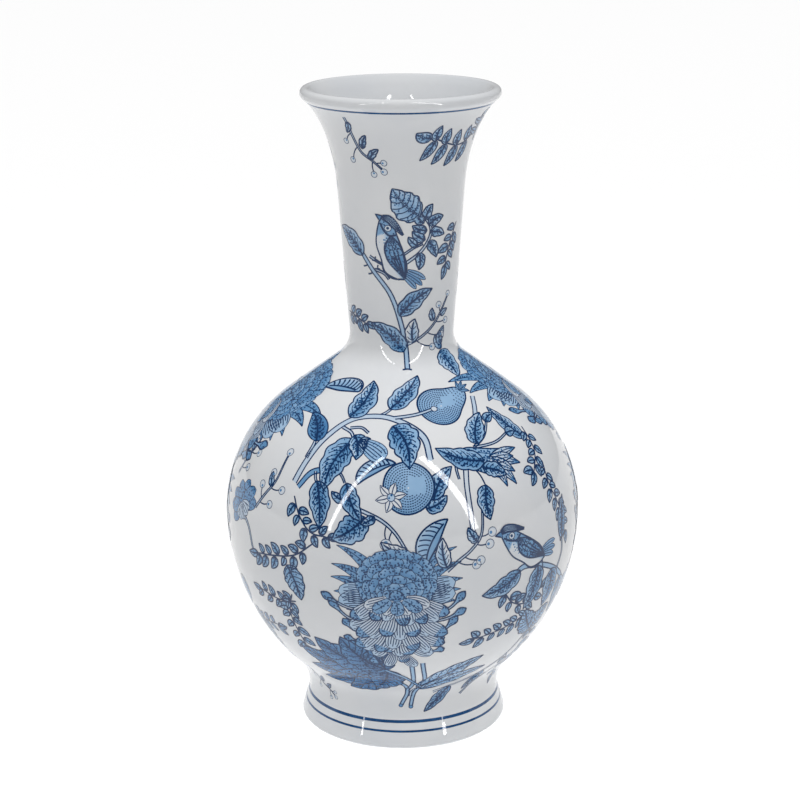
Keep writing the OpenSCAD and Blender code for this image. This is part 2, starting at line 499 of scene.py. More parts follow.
def ribbon(art, path, width, level, tone=tones["line"]):
    # one stroke of the pen; the width may change along it
    side = sideOf(path)
    wide = np.broadcast_to(width, len(path))
    last = len(path) - 1

    def place(u, w):
        i = np.rint(u * last).astype(int)
        return path[i] + side[i] * wide[i] * (w - 0.5)
    patch(art, last, 1, place, level + 0.5, tone)


def flick(count, width, start=0.5, end=0.25):
    # the widths of a stroke that is set down, pressed and lifted
    t = np.linspace(0, 1, count)
    return width * np.minimum(1, np.minimum(start + 6 * t, end + 5 * (1 - t)))


def form(art, left, right, level, tone, grain=0.0, outline=pen["outline"]):
    # a washed form between two edges that run the same way, with its outline
    def place(u, w):
        return pointAt(left, u) * (1 - w) + pointAt(right, u) * w
    patch(art, len(left) - 1, cells(abs(left - right).max()), place, level, tone, grain)
    if outline:
        edge = np.concatenate([left, right[::-1], left[:1]])
        keep = np.concatenate([[True], abs(np.diff(edge)) > 0.08])
        ribbon(art, edge[keep], outline, level)
    return place


def at(place, u, w):
    return place(np.array([float(u)]), np.array([float(w)]))[0]


def disc(art, centre, radius, level, tone, outline=0.42, squash=1.0, grain=0.0):
    parts = max(8, cells(math.tau * radius))

    def rim(u, r):
        return centre + r * (np.cos(math.tau * u) + 1j * squash * np.sin(math.tau * u))
    patch(art, parts, max(1, round(radius / 1.4)), lambda u, w: rim(u, radius * (0.03 + 0.97 * w)),
          level, tone, grain)
    if outline:
        ribbon(art, rim(np.linspace(0, 1, parts + 1), radius), outline, level)


# leaves and stems

leafLook = {
    "veinGap": 4.0,            # mm between two side veins
    "veinReach": 0.70,         # of the way to the edge
    "lobeDepth": 0.09,
    "grain": 0.95,
    "midribShade": 0.26,       # how much the wash darkens along the midrib
    "halfShade": 0.12,         # and in one half of the leaf
    "tipFade": 0.10,
    "full": 11,                # mm, a leaf this long has its full pen and shade
}


def hump(x, middle, width):
    return np.exp(-((x - middle) / width) ** 2)


def leafEdges(base, tip, width, bow, lobes):
    count = max(10, cells(abs(tip - base)) + 1)
    spine = bowed(base, tip, bow, count)
    t = np.linspace(0, 1, count)
    half = width / 2 * (t ** 0.6 * (1 - t) ** 0.95) / 0.355 + 0.05
    if lobes:
        half = half * (1 + leafLook["lobeDepth"] * (2 * abs(np.sin(lobes * math.pi * t)) - 1))
    side = sideOf(spine)
    return spine, spine + side * half, spine - side * half


def leaf(art, base, tip, width, level=0, bow=0.08, lobes=3, tone=tones["wash"], grain=None):
    # pale at the rim, dark and stippled along a heavy midrib, with side veins
    spine, left, right = leafEdges(base, tip, width, bow, lobes)
    look = leafLook
    length = abs(tip - base)
    heavy = min(1, length / look["full"])
    vein = pen["vein"] * (0.6 + 0.4 * heavy)
    dusk = art["chance"].choice((0.25, 0.75))
    if grain is None:
        grain = look["grain"] if length > 8 else 0.0

    def wash(u, w):
        return (tone + heavy * look["midribShade"] * hump(w, 0.5, 0.15) * (1 - 0.5 * u)
                + heavy * look["halfShade"] * hump(w, dusk, 0.2) - look["tipFade"] * u)
    place = form(art, left, right, level, wash,
                 lambda u, w: grain * np.clip(2.9 - 6 * abs(w - 0.5), 0, 1))
    ribbon(art, spine[:-1], flick(len(spine) - 1, pen["stem"] * (0.5 + 0.75 * heavy), 1, 0.3), level)
    veins = round(length / look["veinGap"]) if length > 6 else 0
    for k in range(veins):
        t = 0.10 + 0.68 * k / veins
        for way in (-1, 1):
            end = at(place, min(0.97, t + 0.16), 0.5 + way * 0.5 * look["veinReach"])
            ribbon(art, bowed(at(place, t, 0.5), end, -0.12 * way), vein, level)


def twig(art, points, width=pen["stem"], level=0):
    path = curve(points)
    ribbon(art, path, flick(len(path), width, 0.8, 0.5), level)
    return path


def branch(art, points, width, level=0, end=0.75, tone=0.10):
    # a branch is two lines with a pale inside
    path = curve(points)
    wide = width * (1 - (1 - end) * np.linspace(0, 1, len(path)))
    side = sideOf(path)
    ribbon(art, path, wide, level - 0.5, tone)
    for way in (1, -1):
        ribbon(art, path + way * side * wide / 2, pen["outline"] * 0.9, level)
    return path


def budAlong(path, t, way, reach):
    # a start on the path and a heading that leans forward from it
    i = min(len(path) - 1, round(t * (len(path) - 1)))
    side = sideOf(path)[i]
    return path[i], (side * way * 0.80 - 1j * side * 0.60) * reach


def frond(art, points, leaflets, size, level=0, tone=tones["wash"], first=0.12, both=False, plump=0.55):
    # a stem with leaflets on alternate sides, and one at its end
    path = twig(art, points, pen["stem"], level)
    for k in range(leaflets):
        t = first + (0.94 - first) * k / max(1, leaflets - 1)
        for way in ((1, -1) if both else ((1,) if k % 2 else (-1,))):
            length = size * (0.8 + 0.35 * art["chance"].random())
            start, heading = budAlong(path, t, way, length)
            leaf(art, start + heading * 0.1, start + heading, length * plump, level + 1 + k % 2,
                 bow=0.08 * way, lobes=0, tone=tone, grain=0.5)
    ahead = (path[-1] - path[-2]) / abs(path[-1] - path[-2]) * size * 1.1
    leaf(art, path[-1], path[-1] + ahead, size * plump, level + 1, lobes=0, tone=tone, grain=0.5)


def berry(art, centre, radius=1.9, level=0, towards=-1):
    disc(art, centre, radius, level, lambda u, w: tones["pale"] * 0.5 * w, outline=0.36)
    disc(art, centre + radius * 0.36 * towards, radius * 0.36, level + 1, tones["deep"], outline=0)


def berrySprig(art, points, berries=(), leaves=(), size=1.9, width=1.25, level=0):
    # berries and leaves are given as (place along the stem, side, length)
    path = branch(art, points, width, level + 1, 0.6)
    for t, way, stalk in berries:
        start, heading = budAlong(path, t, way, stalk)
        end = start + heading
        ribbon(art, bowed(start, end, 0.1 * way), pen["stem"] * 0.8, level)
        towards = -heading / max(abs(heading), 0.1)
        berry(art, end - towards * size * 0.8, size, level + 2, towards)
    for t, way, length in leaves:
        start, heading = budAlong(path, t, way, length)
        leaf(art, start, start + heading, length * 0.48, level + 2, bow=0.1 * way, lobes=2)


def twistedLeaf(art, base, tip, width, level=0, bow=0.16):
    # a leaf that folds over and shows a striped underside
    spine = bowed(base, tip, bow, max(14, cells(abs(tip - base)) + 1))
    t = np.linspace(0, 1, len(spine))
    side = sideOf(spine)
    left = spine + side * (width * 0.66 * np.sin(math.pi * t ** 0.8) ** 0.8 + 0.05)
    right = spine - side * (width * 0.34 * np.sin(math.pi * t) ** 0.9 + 0.05)
    place = form(art, left, right, level, lambda u, w: 0.12 + 0.20 * w, outline=pen["outline"] * 1.2)
    for k in range(8):
        u = 0.13 + 0.095 * k
        ribbon(art, bowed(at(place, u, 0.10), at(place, u + 0.07, 0.62), 0.08), pen["vein"] * 1.5, level)
    fold = place(t[1:-1] * 0.9 + 0.04, np.full(len(t) - 2, 0.68))
    ribbon(art, fold, pen["stem"], level)


# flowers and fruit

def petal(art, base, tip, width, level, tone, stripes=0, grain=0.0, plump=0.5, bow=0.05, outline=0.42):
    # widest beyond its middle; plump 0 is a pointed tip and 1 a round one
    count = max(7, cells(abs(tip - base)) + 1)
    spine = bowed(base, tip, bow, count)
    t = np.linspace(0, 1, count)
    shut = np.sqrt(np.maximum(1 - t ** (2 + 5 * plump), 0)) if plump > 0.2 else (1 - t ** 2)
    half = width / 2 * (0.35 + 0.65 * np.sin(math.pi * t * 0.62 + 0.2)) * shut + 0.05
    side = sideOf(spine)
    place = form(art, spine + side * half, spine - side * half, level, tone, grain, outline)
    for k in range(stripes):
        reach = np.linspace(0.05, 0.88 - 0.10 * (k % 2), count)
        ribbon(art, place(reach, np.full(count, (k + 1) / (stripes + 1))), pen["vein"] * 1.15, level, 0.85)
    return place


def club(art, base, knee, tip, width, level):
    # a thin outer petal that swells into a club at its tip
    path = curve([base, knee, tip])
    t = np.linspace(0, 1, len(path))
    half = width * (0.14 + 0.38 * hump(t, 0.88, 0.10)) * np.sqrt(np.maximum(1.01 - t ** 26, 0.01))
    side = sideOf(path)
    form(art, path + side * half, path - side * half, level,
         lambda u, w: 0.10 + 0.30 * np.clip((u - 0.55) * 3, 0, 1),
         lambda u, w: 0.8 * np.clip((u - 0.55) * 4, 0, 1))


flowerLook = {
    "domeWidth": 21,           # mm from its middle to its side
    "domeHeight": 17.5,
    "domeRows": 6,
    "tone": 0.34,
    "grain": 0.86,
    "clubWidth": 4.6,
    # each row of the skirt: height and half width in mm, and number of petals
    "skirt": ((-8, 26, 9), (-18, 25, 8), (-28, 21, 7), (-37, 15, 5), (-44, 9, 4)),
}


def polar(degrees, across, up):
    a = math.radians(degrees)
    return complex(across * math.cos(a), up * math.sin(a))


def domeOfScales(art, centre, across, up, level):
    # rows of scales from the rim of the dome in to its low heart, each row over the last
    look = flowerLook
    rows = look["domeRows"]
    for row in range(rows):
        f = row / (rows - 1)
        count = round(12 - 7 * f)
        reach = 1.0 - 0.84 * f
        heart = centre + 1j * up * (-0.48 * f)
        for k in range(count):
            angle = -42 + 264 * (k + 0.5 + 0.25 * (row % 2) - 0.12) / count
            base = heart + polar(angle, across * (reach - 0.34), up * (reach - 0.34))
            tip = heart + polar(angle, across * (reach + 0.03), up * (reach + 0.05))
            wide = 4.4 * across * max(reach, 0.30) / count * 1.35
            dark = look["tone"] + 0.12 + 0.08 * art["chance"].random() - 0.04 * f
            petal(art, base, tip, wide, level + 2 * row + k % 2, lambda u, w: dark - 0.24 * u,
                  grain=look["grain"], plump=0.75, bow=0)


def stripedSkirt(art, level):
    # rows of pale petals with dark stripes; every other one ends in a stippled lip
    look = flowerLook
    chance = art["chance"]
    rows = look["skirt"]
    for row, (height, reach, count) in enumerate(rows):
        step = level + 3 * (len(rows) - 1 - row)
        for k in range(count):
            x = reach * (2 * (k + 0.5) / count - 1) + 3 * (chance.random() - 0.5)
            heading = -90 + 62 * x / reach + 18 * (chance.random() - 0.5)
            base = complex(0.60 * x, height + 8 - 4 * abs(x / reach) + 2 * (chance.random() - 0.5))
            tip = base + polar(heading, 1, 1) * (14 + 5 * chance.random() - 5 * (row > 2))
            place = petal(art, base, tip, 2.9 * reach / count, step + k % 2,
                          lambda u, w: 0.05 + 0.08 * u, stripes=5, plump=0.85, bow=-0.10 * x / reach)
            if k % 2 == row % 2:
                u = np.linspace(0.72, 1.0, 6)
                form(art, place(u, np.full(6, 0.02)), place(u, np.full(6, 0.98)), step + 1.2 + k % 2,
                     look["tone"], look["grain"])


def chrysanthemum(art, level=0, clubs=11):
    # from the back to the front: side petals, clubs, striped skirt, dome
    look = flowerLook
    chance = art["chance"]
    for k in range(12):
        side = 1 if k % 2 else -1
        rise = 1 - (k // 2) / 5 + 0.06 * chance.random()
        tip = complex(side * (26 + 9 * math.sin(math.pi * rise * 0.75)), -10 + 34 * rise ** 1.3)
        base = complex(side * 8, -9 + 8 * rise)
        petal(art, base, tip, 8.6 + chance.random(), level + (k // 2) % 3, look["tone"], stripes=1,
              grain=look["grain"], plump=0.0, bow=0.10 * side * (0.6 + rise))
    for side, rise in ((-1, 1), (1, 0), (1, 7), (-1, -6)):
        petal(art, complex(side * 7, -3), complex(side * 31, rise), 12.5, level + 4, 0.16, stripes=8,
              plump=0.5, bow=0.06 * side)
    for k in range(clubs):
        side = 1 if k % 2 else -1
        drop = (k // 2 + 0.3 * chance.random()) / max(1, (clubs - 1) / 2)
        start = complex(side * 12, -10 - 26 * drop)
        knee = complex(side * (27 - 12 * drop), -8 - 37 * drop)
        tip = complex(side * (41 - 20 * drop - 4 * (k % 3 == 1)), -1 - 44 * drop + 3 * (k % 3))
        club(art, start, knee, tip, look["clubWidth"], level + 6 + k % 2)
    stripedSkirt(art, level + 8)
    domeOfScales(art, 8j, look["domeWidth"], look["domeHeight"], level + 23)
    for k in range(7):
        angle = 206 + 128 * (k + 0.5) / 7
        base = 1j + polar(angle, 6, 4)
        petal(art, base, base + polar(angle, 15, 9), 7.4, level + 38 + k % 2, 0.06 + 0.24 * (k % 2),
              stripes=4 - 3 * (k % 2), grain=0.8 * (k % 2), plump=0.7)


def cutLeaf(art, base, tip, width, level=0, lobes=6, tone=tones["mid"], bow=0.06):
    # a broad leaf with a cut edge, dense with engraving
    spine, left, right = leafEdges(base, tip, width, bow, lobes)
    place = form(art, left, right, level,
                 lambda u, w: tone + 0.14 * hump(w, 0.5, 0.22) - 0.08 * u, 0.78)
    ribbon(art, spine[:-1], flick(len(spine) - 1, pen["stem"] * 1.4, 1, 0.3), level)
    for k in range(lobes + 2):
        t = 0.06 + 0.80 * k / (lobes + 2)
        for way in (-1, 1):
            end = at(place, min(0.96, t + 0.15), 0.5 + 0.46 * way)
            ribbon(art, bowed(at(place, t, 0.5), end, -0.10 * way), pen["vein"] * 1.2, level)


fruitLook = {"dotGap": 1.32, "dotSize": 0.92, "tone": 0.20}


def fruit(art, skin, level=0, shine=0.3 + 0.1j, shineSize=0.28):
    # rows of pricks follow the skin inwards and leave a bare shine
    rim = skin(np.linspace(0, 1, 41))
    middle = rim[:-1].mean()
    reach = abs(rim - middle).mean()

    def place(u, w):
        return middle + (skin(u) - middle) * (0.03 + 0.97 * w)
    patch(art, 40, cells(reach), place, level,
          lambda u, w: fruitLook["tone"] + 0.10 * w * (1 + np.cos(math.tau * (u - 0.72))) / 2)
    ribbon(art, rim, pen["outline"] * 1.2, level)
    bare = middle + reach * shine
    gap, size = fruitLook["dotGap"], fruitLook["dotSize"]
    for ring in range(1, int(reach / gap)):
        w = 1 - ring * gap / reach
        count = max(5, round(math.tau * reach * w / gap))
        for k in range(count):
            spot = at(place, ((k + 0.5 * (ring % 2)) / count) % 1, w)
            if max(abs((spot - bare).real), abs((spot - bare).imag)) < shineSize * reach:
                continue
            way = (spot - middle) / max(abs(spot - middle), 0.01) * size / 2
            patch(art, 1, 1, lambda a, b: spot + way * ((2 * a - 1) * 0.62 + 1j * (2 * b - 1) * 0.95),
                  level + 0.5, 0.90)


def starFlower(art, centre, size, level=0):
    for k in range(6):
        turn = 0.2 + math.tau * k / 6
        way = size * complex(math.cos(turn), math.sin(turn))
        petal(art, centre + way * 0.2, centre + way, size * 0.62, level + k % 2, 0.02, stripes=1, plump=0.0)
    disc(art, centre, size * 0.25, level + 3, 0.12, grain=0.9)


def feathers(art, root, heading, count, length, width, level, fan, tone):
    for k in range(count):
        way = polar(heading + fan * (k - (count - 1) / 2), 1, 1)
        start = root + 1j * way * width * 0.6 * (k - (count - 1) / 2)
        petal(art, start, start + way * length * (1 - 0.10 * abs(k - count / 2)), width, level + k % 3,
              tone + 0.06 * (k % 2), stripes=1, grain=0.4, plump=0.4)


def bird(art, level=0, legs=((-9 - 2j, -4.5 + 2.2j), (-7.6 - 6.5j, -4.5 + 2.2j))):
    # a small crested bird, perched upright and facing left; 46 mm from beak to tail
    feathers(art, 3 - 7j, -38, 3, 11.5, 3.2, level, 9, 0.30)
    back = curve([-8.5 + 24.5j, -4 + 20j, -1.5 + 13.5j, 1.8 + 4.2j, 3.4 - 3j, 2.6 - 9.5j], 30)
    front = curve([-11 + 22j, -12.4 + 16j, -12.8 + 9j, -10.2 + 1j, -8 - 6j, -1 - 10.2j], 30)
    form(art, back, front, level + 4, lambda u, w: 0.30 - 0.28 * np.clip((w - 0.30) * 3, 0, 1) * (u > 0.25),
         lambda u, w: 0.75 * np.clip((0.95 - w) * 4, 0, 1) * np.clip((0.80 - u) * 5, 0, 1))
    wingBack = curve([-4.5 + 13.5j, -0.5 + 9j, 2.2 + 1j, 2.6 - 9j], 20)
    wingFront = curve([-5.5 + 13j, -8.2 + 8j, -6.6 + 0.5j, 2.0 - 9.2j], 20)
    place = form(art, wingBack, wingFront, level + 6, 0.40, 0.85, pen["outline"] * 1.2)
    for k in range(4):
        lane = place(np.linspace(0.45 + 0.05 * k, 0.97, 9), np.full(9, 0.30 + 0.16 * k))
        ribbon(art, lane, pen["outline"], level + 6)
    for row in range(4):
        for k in range(4 - row // 2):
            start = at(place, 0.06 + 0.11 * row, 0.18 + 0.22 * k)
            petal(art, start, start + (1.2 - 3.4j), 2.6, level + 8 + row, 0.34, grain=0.8, plump=0.9)
    crestTop = curve([-9.2 + 24.6j, -5.5 + 24.4j, -1.6 + 20.6j, 1.6 + 14.4j], 14)
    crestLow = curve([-9.6 + 22.8j, -6.4 + 21.0j, -3.4 + 18.0j, 1.2 + 14.2j], 14)
    form(art, crestTop, crestLow, level + 13, 0.16, outline=pen["outline"] * 1.3)
    for k in range(3):
        ribbon(art, crestLow * (0.3 + 0.2 * k) + crestTop * (0.7 - 0.2 * k), pen["vein"], level + 13)
    disc(art, -6.4 + 17.8j, 1.9, level + 12, 0.06, squash=0.9)
    disc(art, -6.5 + 17.9j, 0.85, level + 13, 0.85, outline=0)
    cheek = curve([-10.6 + 20.6j, -8.4 + 16.2j, -5.6 + 13.8j, -2.2 + 14.2j])
    ribbon(art, cheek, pen["outline"] * 1.3, level + 12)
    upper, lower = curve([-9.4 + 24.4j, -13.2 + 25.2j], 5), curve([-10.8 + 21.6j, -13.2 + 25.2j], 5)
    form(art, upper, lower, level + 13, 0.45)
    ribbon(art, curve([-9.6 - 2j, -8.4 - 6j, -4 - 9.4j, 2 - 10j]), pen["outline"] * 1.2, level + 14)
    for start, reach in legs:
        toe = start + reach
        for claw in (1.5 - 1.2j, -1.9 - 0.4j, 0.2 + 1.8j):
            ribbon(art, bowed(toe, toe + claw, 0.15), pen["outline"], level + 3)
        ribbon(art, bowed(start, toe, 0.05), pen["stem"], level + 3)


# hanging a drawing on the vase

def hang(name, draw, angle, height, turn=0, size=1.0, mirror=False, seed=1):
    art = newArt(seed)
    draw(art)
    bm = art["bm"]
    flat = np.array([v.co for v in bm.verts])
    spots = (flat[:, 0] + 1j * flat[:, 1]) * size * polar(turn, 1, 1)
    if mirror:
        spots = -spots.real + 1j * spots.imag
    for v, spot in zip(bm.verts, spots):
        v.co.x, v.co.y = spot.real, spot.imag
    bm.normal_update()
    bmesh.ops.delete(bm, geom=[f for f in bm.faces if f.calc_area() < 1e-4], context="FACES")
    bmesh.ops.reverse_faces(bm, faces=[f for f in bm.faces if f.normal.z < 0])
    bm.faces.sort(key=lambda f: f.calc_center_median().z)
    bm.verts.index_update()
    flat = np.array([v.co for v in bm.verts])
    low = flat.min(axis=0)
    span = (flat.max(axis=0) - low)[:2].max() * 1.02
    sheet = bm.loops.layers.uv.new("OFBake")         # the flat drawing itself
    for face in bm.faces:
        face.smooth = True
        for corner in face.loops:
            corner[sheet].uv = ((corner.vert.co.x - low[0]) / span, (corner.vert.co.y - low[1]) / span)
    lift = printLook["start"] + flat[:, 2] * printLook["level"]
    places, normals = onWall(flat[:, 0], flat[:, 1], lift, angle, height)
    for v, place in zip(bm.verts, places):
        v.co = place
    piece = finishPiece(bm, name, ink)
    piece.data.normals_split_custom_set_from_vertices(normals.tolist())
    piece.visible_shadow = False


# the fronds, then the neck

def frondOf(*how):
    return lambda art: frond(art, *how)


smallFrond = frondOf([0, 8 - 1j, 17 - 4j], 7, 6.5, 1, 0.26)
hangingFrond = frondOf([0, -5 - 10j, -8 - 22j], 8, 7.5, 1, 0.26)
longFrond = frondOf([0, 9 - 11j, 20 - 14j, 31 - 8j], 10, 8.0, 1, 0.26)
lowFrond = frondOf([22 - 24j, 6 - 30j, -14 - 34j], 11, 7.5, 1, 0.22)
openFrond = frondOf([0, 6 - 10j, 14 - 17j, 24 - 18j], 9, 7.5, 1, 0.26)
wideFrond = frondOf([2, -9 - 8j, -25 - 12j, -38 - 14j], 12, 8.0, 1, 0.26)
garland = frondOf([0, -2 - 12j, 3 - 26j, 8 - 42j], 13, 7.5, 1, 0.22)


def lipSprig(art):
    berrySprig(art, [0, 1 - 12j, 4 - 21j, 10 - 26j, 14 - 30j],
               [(0.25, -1, 6), (0.48, -1, 8), (0.80, -1, 6), (0.86, 1, 3)], size=1.7, level=0)
    leaf(art, 1 - 3j, -2 - 10j, 3.2, 3)
    leaf(art, 5 - 19j, 9 - 11j, 3.6, 3)
    leaf(art, 8 - 25j, 14 - 19j, 3.6, 3)
    berry(art, 15 - 31.5j, 1.8, 3)


def lipFrond(art):
    twig(art, [5 - 8j, -10 - 17j, -32 - 11j], level=3)
    for k, (x, y) in enumerate(((-5, -15.5), (-13, -17), (-21, -15.5), (-28, -13))):
        leaf(art, complex(x, y), complex(x - 1, y + 9), 5.2, 4 + k % 2, lobes=0)
        leaf(art, complex(x, y), complex(x - 5, y - 11), 5.4, 4 + k % 2, lobes=0)
    leaf(art, -31 - 11.5j, -41 - 8j, 6.0, 6, lobes=0)
    branch(art, [1, 4 - 8j, 5 - 17j], 1.1, 3)
    for y in (-2, -8):
        leaf(art, complex(2, y), complex(9, y + 4), 4.0, 4, lobes=2)
        leaf(art, complex(3, y - 3), complex(-4, y - 1), 4.0, 5, lobes=2)


def neckSpray(art):
    branch(art, [-9 - 27j, 0 - 20j, 5 - 12j, 5 - 7j, 0], 1.5, 2)
    branch(art, [-10 - 22j, -4 - 18j, 1 - 16j], 1.1, 2)
    for base, tip in ((2 - 3j, 6 + 5j), (4 - 6j, 13 - 2j), (5 - 10j, 14 - 12j), (4 - 15j, 9 - 24j),
                      (-1 - 21j, -1 - 30j), (1 - 5j, -4 + 3j), (3 - 9j, -5 - 6j), (2 - 14j, -5 - 9j),
                      (-2 - 17j, -7 - 12j)):
        leaf(art, base, tip, 0.55 * abs(tip - base), 4 + int(tip.imag) % 2, lobes=2)
    cutLeaf(art, -1 - 1j, -16 + 14j, 14.5, 6, lobes=4, tone=tones["wash"])


def neckBranch(art):
    branch(art, [-22 + 39j, -16 + 31j, -6 + 18j, 0, 2 - 11j, 3 - 24j], 2.0, 3, end=1.2, tone=0.15)
    branch(art, [-17.5 + 38j, -12 + 35j, -8.5 + 33.5j], 1.3, 2)
    branch(art, [-14 + 31j, -9 + 29j, -6.5 + 26j], 1.2, 2)
    ribbon(art, curve([0.4 - 24.4j, 3 - 24j, 5.4 - 24.6j]), pen["outline"] * 1.3, 4)
    for spot in (-19 + 33j, -16 + 29j):
        ribbon(art, bowed(spot, spot - 2.4 - 0.8j, 0.1, 4), pen["stem"], 4)
    leaf(art, -22 + 38j, -42 + 51j, 9.5, 5, bow=-0.10)
    leaf(art, -1 + 6j, 17 + 20j, 9.0, 5, bow=0.08, tone=tones["mid"])
    leaf(art, 1 - 14j, -17 + 1j, 9.5, 5, bow=-0.10, tone=tones["mid"])


def neckSprig(art):
    berrySprig(art, [-4 - 1j, 0, 8 + 4j, 16 + 11j, 25 + 24j],
               [(0.32, -1, 9), (0.50, -1, 9), (0.68, -1, 6), (0.80, 1, 3)], size=1.9)
    leaf(art, 3 + 1j, 4 + 14j, 7.0, 4, tone=0.06, grain=0)
    leaf(art, 15 + 12j, 14 + 19j, 3.6, 4)
    leaf(art, 20 + 14j, 25 + 17j, 3.0, 4)
    berry(art, 25.5 + 25.5j, 1.7, 3, -0.6 - 0.8j)


# the shoulder

def fruitBranch(art):
    branch(art, [-24 - 41j, -19 - 28j, -12 - 14j, 0, 14 + 3j, 27 - 1j, 41 - 11j, 48 - 24j], 3.0, 3, end=0.9)
    branch(art, [-21 - 43j, -14 - 34j, -5 - 31j], 2.4, 2, end=1.3, tone=0.34)
    branch(art, [11 + 2j, 16 + 6j, 19 + 11j], 1.6, 2)
    branch(art, [-20 - 27j, -18 - 20j, -17.5 - 16j], 1.8, 2)
    branch(art, [-4 - 6j, 2 - 9j, 5 - 15j], 1.6, 2)
    branch(art, [0 - 6j, 6 - 5j, 11 - 8j], 1.4, 2)
    branch(art, [26 - 2j, 29 - 4j, 31 - 8j], 1.6, 2)
    branch(art, [-12 - 33j, -11 - 37j, -9 - 40j], 1.3, 2)
    branch(art, [0 - 30j, 4 - 34j, 6 - 37j], 1.1, 2)
    leaf(art, -3 + 1j, 2 + 26j, 12.5, 5, bow=-0.10, lobes=3)
    leaf(art, 17 + 8j, 24 + 30j, 12.5, 5, bow=-0.06, lobes=3)
    leaf(art, -17 - 17j, -27 - 1j, 13.0, 6, lobes=0, tone=tones["deep"], bow=-0.12)
    leaf(art, 5 - 13j, -5 - 42j, 15, 5, bow=-0.10, lobes=4, tone=tones["mid"])
    leaf(art, 4 - 10j, 9 - 24j, 9, 7, bow=0.1)
    leaf(art, -10 - 38j, -5 - 62j, 11.5, 5, bow=0.06, tone=tones["mid"])
    leaf(art, 7 - 37j, 18 - 56j, 9.0, 5, bow=-0.06, tone=tones["mid"])
    leaf(art, 22 - 3j, 38 - 28j, 13.5, 5, bow=0.10, lobes=4, tone=tones["mid"])
    twistedLeaf(art, 13 - 37j, 30 - 25j, 8, 5)


def pod(art):
    # a seed pod with a ribbed end
    petal(art, 0, 14 - 9j, 10.5, 7, tones["wash"], stripes=5, grain=0.5, plump=0.9)
    for k in range(3):
        leaf(art, -1 + 1j, complex(4.5 - 1.2 * k, 2.5 - 3.2 * k), 2.6, 9, lobes=0)


def pear(art):
    # blossom end low on the left, stalk end high on the right
    def skin(u):
        a = math.tau * u
        neck = np.clip(np.cos(a - 0.42), 0, 1)
        return (11.8 + 7.5 * neck ** 9) * (np.cos(a) + 1j * np.sin(a))
    fruit(art, skin, 4, shine=0.36 + 0.24j, shineSize=0.26)
    branch(art, [-26 - 6j, -14 - 4j, -4 - 1j], 1.7, 5, end=0.9)
    disc(art, -3.5 - 1.0j, 1.7, 7, 0.06)
    for k, heading in enumerate((95, 58, 22, -18)):
        way = polar(heading, 1, 1)
        petal(art, 15.5 + 8.5j, 15.5 + 8.5j + way * 6.5, 3.0, 7 + k % 2, 0.30, stripes=1, plump=0.0)
    branch(art, [22 + 3j, 20 - 5j, 17 - 13j], 2.6, 3, end=1)
    leaf(art, 13 - 26j, 22 - 8j, 11, 8, bow=0.1, lobes=4)


def pomegranate(art):
    def skin(u):
        a = math.tau * u
        return 13.2 * (1 + 0.02 * np.cos(3 * a)) * (np.cos(a) + 1.04j * np.sin(a))
    fruit(art, skin, 4, shine=0.30 + 0.10j, shineSize=0.34)
    starFlower(art, -9 - 5j, 8.2, 8)
    leaf(art, 13 - 7j, 23 + 10j, 9.5, 2, bow=0.1)
    leaf(art, 9 - 11j, 20 - 5j, 7.5, 1, bow=-0.1)


def blownFlower(art):
    # an opened fruit flower with a torn mouth, its leaf and two buds
    for x, y in ((14, 17), (24, 7)):
        branch(art, [-1 + 3j, complex(x * 0.55, y * 0.5), complex(x, y)], 1.3, 1, end=0.8)
        leaf(art, complex(x - 1.5, y - 0.5), complex(x + 6, y + (3 if x < 20 else -1)), 5.6, 3, lobes=0,
             tone=0.26, grain=0.8)
    upper = curve([-13 + 1j, -6 + 3.5j, 4 + 1.5j, 11, 17 - 1j], 28)
    under = curve([-13 + 1j, -8 - 7j, -1 - 11j, 7 - 15j, 12 - 17j], 28)
    for k, tip in enumerate((25 - 2.5j, 21.5 - 6.5j, 25 - 11j, 19.5 - 14.5j, 18.5 - 21j, 12 - 21j)):
        petal(art, 6 - 5.5j, tip, 7.5, 4 + k % 2, lambda u, w: 0.10 + 0.35 * (u > 0.8),
              stripes=2, grain=0.7, plump=0.0, outline=0.7)
    place = form(art, upper, under, 3, lambda u, w: 0.28 - 0.12 * u, 0.95)
    for k in range(4):
        lane = np.full(10, 0.2 + 0.2 * k)
        ribbon(art, place(np.linspace(0.1, 0.86, 10), lane), pen["vein"], 6, 0.75)
    leaf(art, 2 - 5j, -22 + 5j, 11.5, 7, bow=0.08, lobes=3, tone=tones["mid"])
    leaf(art, 0 - 9j, 13 - 15j, 8, 7, tone=0.20)
    branch(art, [-9 - 5j, -12 - 18j, -13 - 44j], 2.6, 1, end=0.9, tone=0.05)
    branch(art, [-14 - 3j, -15 - 8j, -15 - 13j], 1.2, 0)
    twig(art, [-7 - 6j, -3 - 12j, -1 - 19j])
    leaf(art, -1 - 18j, -2 - 36j, 9.5, 4, bow=-0.08, lobes=3, tone=0.20)


def shoulderLeaf(art):
    leaf(art, 0, 1 - 18j, 12, 2, lobes=4, tone=tones["wash"])
    for k in range(3):
        leaf(art, complex(1, 1 + 2 * k), complex(-3 + 3 * k, 9 + 2 * k), 4.2, 1 + k % 2, lobes=2, tone=0.2)


# the belly

def sideFlower(art):
    chrysanthemum(art, 0, clubs=11)
    twistedLeaf(art, 7 + 24j, 21 + 37j, 8, 0, bow=0.12)


def flowerStems(art):
    for points, wide in (([-2 - 9j, 1, 9j, -12 + 22j], 1.8), ([1 + 3j, 4 + 12j, 3 + 36j], 1.9),
                         ([3 - 10j, 5 + 1j, 10 + 12j, 9 + 34j], 1.8)):
        branch(art, points, wide, 1, end=1.2, tone=0.22)
    for spot in (-2.3 - 9.6j, 3.1 - 10.6j):
        disc(art, spot, 1.15, 3, tones["deep"], grain=0)


